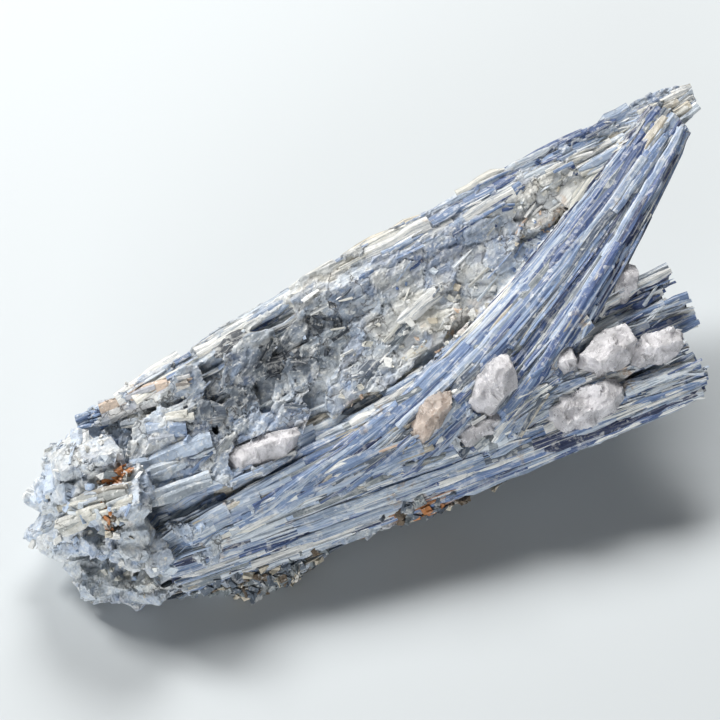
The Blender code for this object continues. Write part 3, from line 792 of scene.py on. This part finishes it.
BED_BROAD = (150, (0.8, 3.0, 1.6), (8, 40, 20), (-0.4, 0.3))
BED_FINE = (420, (0.25, 1.0, 0.45), (3, 18, 8), (0.0, 0.5))
BUNDLE_BROAD = (16, (0.9, 2.8, 1.6), (12, 30, 20), (-0.3, 0.3))
BUNDLE_FINE = (50, (0.25, 0.9, 0.4), (4, 16, 8), (0.0, 0.5))
fork_rng = random.Random(97)
fork_paths = layered(FORK_BED, BED_BROAD, BED_FINE, FORK_GROWTH, fork_rng, broad_drift=0.1, drift=0.12,
                     roll=0.8)
for sizes in FORK_BLADES.values():
    fork_paths += layered(bundle_sheet(*sizes), BUNDLE_BROAD, BUNDLE_FINE, FORK_GROWTH, fork_rng,
                          broad_drift=0.1, drift=0.2, roll=0.8)
dress("fork_blades", fork_paths)

# ---- The crumbled root end ----
# Kyanite and mica broken up where the cluster parted from its rock, pale and dusty. Slats and slabs of
# blades lie across it, with angular granules and short broken blades set between them at all angles.
ROOT_END_X = -52
ROOT_END_FADE = 8
UNDER_SHARE = 0.15
GRANULE_TILT = 0.5


def surface_spots(count, wanted, rng):
    """Places on the mass with their facings, more of them where wanted(place, facing) is greater."""
    shares = [area * wanted(place, facing) for place, facing, area in mass_faces]
    return [(place, facing) for place, facing, _ in rng.choices(mass_faces, shares, k=count)]


def crumbs_mesh(name, spots, sizes, growth, rng, sink=0.2, flat=0.6):
    """Points for granules, each with a size, a turn and a tone. A small flat lays them flat on the mass."""
    points, scales, turns, tones = [], [], [], []
    for place, facing in spots:
        size = rng.triangular(*sizes)
        leaning = facing.to_track_quat("Z", "Y").to_euler()
        wobble = Euler([rng.uniform(-GRANULE_TILT, GRANULE_TILT), rng.uniform(-GRANULE_TILT, GRANULE_TILT),
                        rng.uniform(0, math.tau)])
        turn = (leaning.to_matrix() @ wobble.to_matrix()).to_euler()
        points.append((place + facing * size * (0.5 - sink) * flat) * MM)
        block = Vector((rng.uniform(0.7, 1.4), rng.uniform(0.6, 1.0), rng.uniform(0.5, 1.0) * flat))
        scales.append(block * size * MM)
        turns.append(turn)
        tones.append(crystal_tone(place, growth, rng))
    mesh = bpy.data.meshes.new(name)
    mesh.from_pydata(points, [], [])
    attribute(mesh, "size", "FLOAT_VECTOR", scales)
    attribute(mesh, "turn", "FLOAT_VECTOR", turns)
    attribute(mesh, "tone", "FLOAT_COLOR", tones)
    return mesh


def crumb_tree():
    """Sets a block on each point and knocks its corners out of true."""
    tree, given = new_tree("broken_granules", {"Seed": "NodeSocketInt", "Roughness": "NodeSocketFloat"})
    size, turn = named(tree, "size", "FLOAT_VECTOR"), named(tree, "turn", "FLOAT_VECTOR")
    block = add_node(tree, "GeometryNodeMeshCube", {"Size": (1, 1, 1)})
    turned = add_node(tree, "FunctionNodeEulerToRotation", {0: turn})
    set_out = add_node(tree, "GeometryNodeInstanceOnPoints",
                       {"Points": given["Geometry"], "Instance": block.outputs["Mesh"],
                        "Rotation": turned.outputs[0], "Scale": size})
    real = add_node(tree, "GeometryNodeRealizeInstances", {"Geometry": set_out.outputs[0]})
    reach = add_node(tree, "ShaderNodeVectorMath", {0: size, "Scale": given["Roughness"]}, operation="SCALE")
    knock = add_node(tree, "FunctionNodeRandomValue", {0: (-1, -1, -1), 1: (1, 1, 1), "Seed": given["Seed"]},
                     data_type="FLOAT_VECTOR")
    knocked = add_node(tree, "ShaderNodeVectorMath", {0: knock.outputs[0], 1: reach.outputs[0]},
                       operation="MULTIPLY")
    moved = add_node(tree, "GeometryNodeSetPosition",
                     {"Geometry": real.outputs[0], "Offset": knocked.outputs[0]})
    end_tree(tree, moved.outputs[0], given["Finish"])
    return tree


def at_root_end(place, facing):
    """1 on the root end, falling to 0 on the blades, and less under the mass."""
    share = min(max((ROOT_END_X + ROOT_END_FADE / 2 - place.x) / ROOT_END_FADE, 0.0), 1.0)
    return share * (UNDER_SHARE if facing.z < -0.7 else 1.0)


crumbs = crumb_tree()
crumb_finish = broken_surface("crumbled_kyanite", grain_stretch=(250, 700, 250))
crumb_rng = random.Random(101)


def strew(name, count, wanted, sizes, growth, rng, **shape):
    """Makes granules on the mass, more of them where wanted is greater, and fixes them."""
    mesh = crumbs_mesh(name, surface_spots(count, wanted, rng), sizes, growth, rng, **shape)
    piece = grow(name, mesh, crumbs, {"Seed": 7, "Roughness": 0.3, "Finish": crumb_finish})
    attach(piece, "root")


def spiky_paths(spots, growth, rng):
    """Short blades that stand out of the broken root end at steep angles."""
    paths = []
    for place, facing in spots:
        way = (facing * 0.5 + Vector((-0.4, rng.uniform(-0.4, 0.4), rng.uniform(-1, 1)))).normalized()
        length = rng.triangular(1.2, 3.6, 2.0)
        out = way.cross(Vector((rng.uniform(-1, 1), rng.uniform(-1, 1), 0.3))).normalized()
        half = rng.triangular(0.2, 1.2, 0.5)
        ends = [place - way * length * 0.5, place, place + way * length * 0.5]
        tone = crystal_tone(place, growth, rng)
        paths.append((ends, [half, half, half * rng.choice((0.3, 0.8))], [out] * 3, tone, rng.random()))
    return paths


ROOT_SLABS = {
    "slat_high": [(-75, 16, 22), (-65.5, 5.6, 31.2), 3.6, (-0.5, -0.4, 0.75), GREY_GROWTH],
    "slat_low": [(-75.4, 9, 25.6), (-66.5, 3.2, 31), 3.0, (-0.5, -0.5, 0.7), GREY_GROWTH],
    "slat_foot": [(-78.5, 12, 21.5), (-72.6, 7.0, 27.8), 3.4, (-0.5, -0.5, 0.7), GREY_GROWTH],
    "blue_block": [(-56, 14.6, 32.2), (-49, 11.4, 32.4), 4.6, (-0.3, -0.5, 0.8), BLOCK_GROWTH],
    "dark_block": [(-64, 28.2, 27.5), (-58, 25.0, 30), 4.0, (-0.3, -0.3, 0.9), BLOCK_GROWTH],
    "pale_rim": [(-59.5, 26, 30.4), (-43.5, 17.5, 37.6), 4.6, (-0.3, -0.5, 0.8), STAINED_GROWTH],
    "grey_ledge": [(-57.6, 22, 29.4), (-46, 12.6, 33.8), 2.8, (-0.3, -0.5, 0.8), GREY_GROWTH],
    "pale_slab": [(-62, 11, 27.6), (-46, 6.6, 29.6), 5.5, (-0.2, -0.6, 0.8), FROST_GROWTH],
    "pale_slab_low": [(-64, 5, 26), (-49, 1.5, 27.2), 5.0, (-0.2, -0.6, 0.8), FROST_GROWTH],
    "frost_high": [(-66, 25, 30), (-71.5, 17, 29), 5.0, (-0.5, 0.0, 0.85), CRUMB_GROWTH],
    "frost_far": [(-69, 27, 26), (-76, 18, 25), 5.0, (-0.6, 0.0, 0.75), CRUMB_GROWTH],
}
THICKEST = 0.5
slab_paths = []
for root, tip, width, facing, growth in ROOT_SLABS.values():
    sheet = bundle_sheet(root, tip, width * 0.6, facing)
    whole = (Vector(tip) - Vector(root)).length
    slabs = sheet_paths(sheet, 5, (0.35 * width, 0.8 * width, 0.6 * width), (0.5 * whole, whole, 0.8 * whole),
                        (-0.6, 0.4), growth, crumb_rng, roll=0.4)
    slabs += sheet_paths(sheet, round(1.6 * width), (0.5, 1.6, 0.9), (2, 8, 4), (-0.2, 0.6),
                         growth, crumb_rng, drift=0.3, roll=0.6)
    mean = mean_tone(growth) + [1.0]
    for points, halves, facings, tone, seed in slabs:
        slab_paths.append((points, halves, facings, [(a + b) / 2 for a, b in zip(tone, mean)], seed))
dress("root_slabs", slab_paths, THICKEST, crumb_finish)
strew("root_crumbs", 120, at_root_end, (0.4, 2.0, 0.8), CRUMB_GROWTH, crumb_rng, sink=0.4, flat=0.9)
dress("root_splinters", spiky_paths(surface_spots(60, at_root_end, crumb_rng), CRUMB_GROWTH, crumb_rng))

# ---- Mica, grit and rust on the face and the ledges ----
# Flakes of dark mica on the face's dark patch, and pale and stained grit along its seams. Rust has washed
# into the crevices of the root end, and grit clings under the fan. It is all stuck to the mass.


def in_zones(*names):
    """How much a place belongs to those zones."""
    def wanted(place, facing):
        return sum(zone_share(place, ZONES[name]) for name in names)
    return wanted


# Each kind's count, zones, sizes, colours, how deep it is sunk, and how flat it is
GRIT = {
    "mica_flakes": (60, ("dark_patch", "dark_patch_low"), (0.3, 1.4, 0.6), DARK_GROWTH, 0.4, 0.4),
    "cream_grit": (60, ("cream_middle", "cream_upper", "cream_high", "cream_low"), (0.4, 1.8, 0.8),
                   CREAM_GROWTH, 0.42, 0.5),
    "stain_grit": (150, ("stain_middle", "stain_upper", "stain_root"), (0.3, 1.2, 0.5), STAINED_GROWTH,
                   0.45, 0.25),
    "rust_crumbs": (90, ("crevice_rust", "crevice_rust_low"), (0.5, 2.2, 1.0), RUSTY_GROWTH, 0.2, 0.7),
    "underside_grit": (500, ("under_grey", "ledge_rust"), (0.4, 2.6, 0.9), DUSKY_GROWTH, 0.2, 0.6),
}
grit_rng = random.Random(113)
for name, (count, zones, sizes, growth, sink, flat) in GRIT.items():
    strew(name, count, in_zones(*zones), sizes, growth, grit_rng, sink=sink, flat=flat)

# ---- The quartz grains ----
# Cloudy white quartz in the fork and on the face, partly see-through and veined inside. Each grain is its
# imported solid, cut by three flat breaks and then broken all over into small uneven facets.
QUARTZ_GRID = 0.4
QUARTZ_IOR = 1.54
QUARTZ_WHITE = display(233, 231, 234)
GRAIN_TINTS = {"quartz_fork_pink": display(222, 206, 194), "quartz_fork_small": SAND}
FLAT_BREAKS = 3
BREAK_REACH = (0.84, 0.96)
# Each round of facets: their size, how flat they are, 0 to 1, and how far they lean
FACET_ROUNDS = ((4.6, 1.0, 0.4), (1.9, 0.55, 0.25))
CELL_OFFSET = Vector((5, 5, 5))


def quartz_finish(name, tint):
    """Milky quartz that lets light into it, with clearer clouds and stained veins."""
    made, tree, shader = new_material(name)
    place = add_node(tree, "ShaderNodeTexCoord").outputs["Object"]
    cloud = pattern(tree, place, 260.0, 4.0)
    vein = pattern(tree, place, 900.0, 5.0, 0.7)
    sugar = pattern(tree, place, 2600.0, 2.0)
    cloudy = blend(tree, ramp(tree, cloud, 0.35, 0.65), (*[part * 0.88 for part in tint], 1), (*tint, 1))
    milky = blend(tree, ramp(tree, sugar, 0.4, 0.5, 0.4, 0.0), cloudy, (*[part * 0.7 for part in tint], 1))
    stained = blend(tree, ramp(tree, vein, 0.60, 0.72, 0.0, 0.25), milky, (*SAND, 1))
    height = maths(tree, "ADD", vein, times(tree, sugar, 0.6))
    connect(tree, shader, {
        "Base Color": stained, "Roughness": ramp(tree, vein, 0.35, 0.65, 0.25, 0.5),
        "Transmission Weight": ramp(tree, cloud, 0.4, 0.6, 0.45, 0.15), "IOR": QUARTZ_IOR,
        "Subsurface Weight": 0.75, "Subsurface Radius": (1.0, 1.0, 1.0), "Subsurface Scale": 0.0015,
        "Normal": bumps(tree, height, 0.4, 0.0004)})
    return made


for node in sorted(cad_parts):
    if not node.startswith("quartz"):
        continue
    tint = GRAIN_TINTS.get(node, QUARTZ_WHITE)
    lump = fine_copy(node, node + "_broken", QUARTZ_GRID)
    middle = sum((v.co for v in lump.data.vertices), Vector()) / len(lump.data.vertices)
    grain_rng = random.Random(node)
    for _ in range(FLAT_BREAKS):
        way = Vector([grain_rng.gauss(0, 1) for _ in range(3)]).normalized()
        reach = max((v.co - middle).dot(way) for v in lump.data.vertices) * grain_rng.uniform(*BREAK_REACH)
        for vert in lump.data.vertices:
            vert.co -= way * max((vert.co - middle).dot(way) - reach, 0.0)
    for cell_size, flatness, lean in FACET_ROUNDS:
        faces = {}
        for vert, facing in [(vert, vert.normal.copy()) for vert in lump.data.vertices]:
            cell = facets(vert.co / MM, [cell_size] * 3, CELL_OFFSET)[2]
            way = max(range(3), key=lambda axis: abs(facing[axis]))
            key = (*[round(part, 2) for part in cell], way, facing[way] > 0)
            faces.setdefault(key, []).append((vert, facing))
        for face in faces.values():
            centre = sum((vert.co for vert, _ in face), Vector()) / len(face)
            tilt = Vector([grain_rng.uniform(-lean, lean) for _ in range(3)])
            out = (sum((facing for _, facing in face), Vector()).normalized() + tilt).normalized()
            for vert, _ in face:
                vert.co -= out * (vert.co - centre).dot(out) * flatness
    set_finish(lump, quartz_finish(node + "_quartz", tint))
    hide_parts(node)
    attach(lump, "root")

# ---- Stand, light and camera ----
# A matt, pale floor under three square soft lamps, two high behind the specimen and one low in front of
# it. The camera looks down on it from the front left.
FLOOR_HALF = 2.0
FLOOR_GREY = (0.60, 0.635, 0.655, 1)
CAMERA_AZIMUTH = math.radians(-36)
CAMERA_ELEVATION = math.radians(48)
CAMERA_DISTANCE = 560
CAMERA_TARGET = (-10, 7.5, 30)
CAMERA_LENS = 140
CAMERA_SENSOR = 36

floor_mesh = bpy.data.meshes.new("floor")
floor_shape = bmesh.new()
bmesh.ops.create_grid(floor_shape, x_segments=1, y_segments=1, size=FLOOR_HALF)
floor_shape.to_mesh(floor_mesh)
floor_shape.free()
floor = new_piece("floor", floor_mesh)
floor_paint, floor_tree, floor_shader = new_material("pale_floor")
connect(floor_tree, floor_shader, {"Base Color": FLOOR_GREY, "Roughness": 0.8})
floor.data.materials.append(floor_paint)

back = Vector((math.sin(CAMERA_AZIMUTH) * math.cos(CAMERA_ELEVATION),
               -math.cos(CAMERA_AZIMUTH) * math.cos(CAMERA_ELEVATION),
               math.sin(CAMERA_ELEVATION)))
camera = new_piece("camera", bpy.data.cameras.new("camera"))
camera.data.lens = CAMERA_LENS
camera.data.sensor_width = CAMERA_SENSOR
camera.data.clip_start = 0.01
camera.location = (Vector(CAMERA_TARGET) + back * CAMERA_DISTANCE) * MM
camera.rotation_euler = (-back).to_track_quat("-Z", "Y").to_euler()
bpy.context.scene.camera = camera

LAMP_TARGET = Vector((0, 0, 0.02))
DAYLIGHT = (1.0, 0.99, 0.97)
SKYLIGHT = (0.97, 0.985, 1.0)
WORLD_LIGHT = (0.95, 0.975, 1.0, 1)
WORLD_STRENGTH = 0.06


def soft_box(name, place, size, watts, colour):
    """A square lamp that faces the specimen."""
    lamp = new_piece(name, bpy.data.lights.new(name, "AREA"))
    lamp.data.size = size
    lamp.data.energy = watts
    lamp.data.color = colour
    lamp.location = place
    lamp.rotation_euler = (LAMP_TARGET - Vector(place)).to_track_quat("-Z", "Y").to_euler()


soft_box("key_left", (-0.34, 0.80, 0.90), 0.32, 12.6, DAYLIGHT)
soft_box("key_right", (0.42, 0.60, 0.86), 0.42, 9.8, DAYLIGHT)
soft_box("fill", (-1.7, -1.4, 0.36), 1.0, 37.0, SKYLIGHT)
world = bpy.data.worlds.new("studio")
bpy.context.scene.world = world
world.use_nodes = True
connect(world.node_tree, world.node_tree.nodes["Background"], {0: WORLD_LIGHT, 1: WORLD_STRENGTH})
bpy.context.scene.view_settings.view_transform = "Standard"
